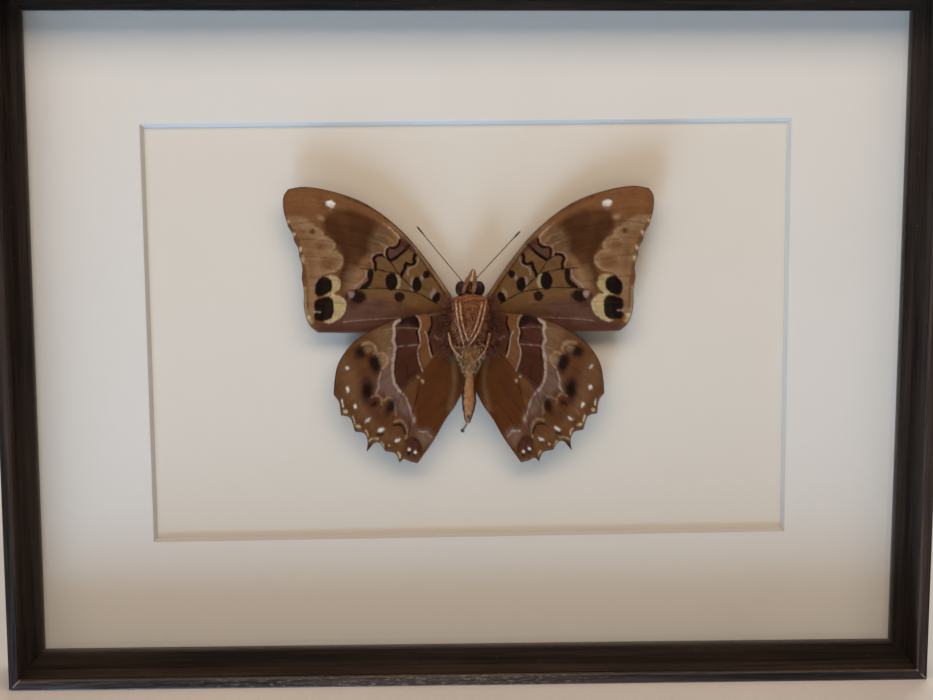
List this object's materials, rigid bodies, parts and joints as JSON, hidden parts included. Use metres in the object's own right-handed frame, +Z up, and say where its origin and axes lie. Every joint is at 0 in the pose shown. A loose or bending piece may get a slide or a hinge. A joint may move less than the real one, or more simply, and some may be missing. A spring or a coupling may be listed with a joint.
{
  "type": "framed butterfly specimen",
  "caption": "Dried butterfly with toothed hindwings, underside to the front, pinned on a white board behind a bevelled mat and a glass in a thin-rimmed dark wood box frame.",
  "frame": {"origin": "middle of the footprint, on the bottom rail's outer face", "axes": "+X to the viewer's right along the bottom rail, -Y out of the glass towards the viewer, +Z up"},
  "size_m": [0.2456, 0.028, 0.1856],
  "materials": {
    "wood": "dark brown open-grained timber, oiled, worn light along the mitres",
    "glass": "clear float glass, thin film of dust",
    "mat": "white mat card with a bevel-cut window",
    "board": "off-white paper face of the pinning board",
    "panel": "brown hardboard, fine fibre",
    "steel": "thin zinc-plated steel",
    "forewing": "wing scales, matte brown with ochre, cream and black marks",
    "hindwing": "wing scales, matte brown with lilac, cream and black marks",
    "fur": "rust-brown hair",
    "abdomen": "tan hair in rings",
    "palp": "brown scales",
    "eye": "dark red-brown, glossy",
    "antenna": "dark grey-brown chitin",
    "leg": "pale brown chitin with fine hair"
  },
  "bodies": {
    "root": {"rail_bottom": "wood", "rail_top": "wood", "rail_left": "wood", "rail_right": "wood", "glass": "glass", "mat": "mat", "backing_board": "board", "back_panel": "panel", "tab_1": "steel", "tab_2": "steel", "tab_3": "steel", "tab_4": "steel", "tab_5": "steel", "tab_6": "steel", "tab_7": "steel", "tab_8": "steel", "hanger": "steel", "forewing_left": "forewing", "hindwing_left": "hindwing", "eye_left": "eye", "leg_front_left": "leg", "leg_middle_left": "leg", "leg_hind_left": "leg", "forewing_right": "forewing", "hindwing_right": "hindwing", "eye_right": "eye", "leg_front_right": "leg", "leg_middle_right": "leg", "leg_hind_right": "leg", "thorax": "fur", "abdomen": "abdomen", "head": "palp", "antenna_left": "antenna", "antenna_right": "antenna", "body_pin": "steel", "tail_pin": "steel"}
  },
  "joints": []
}
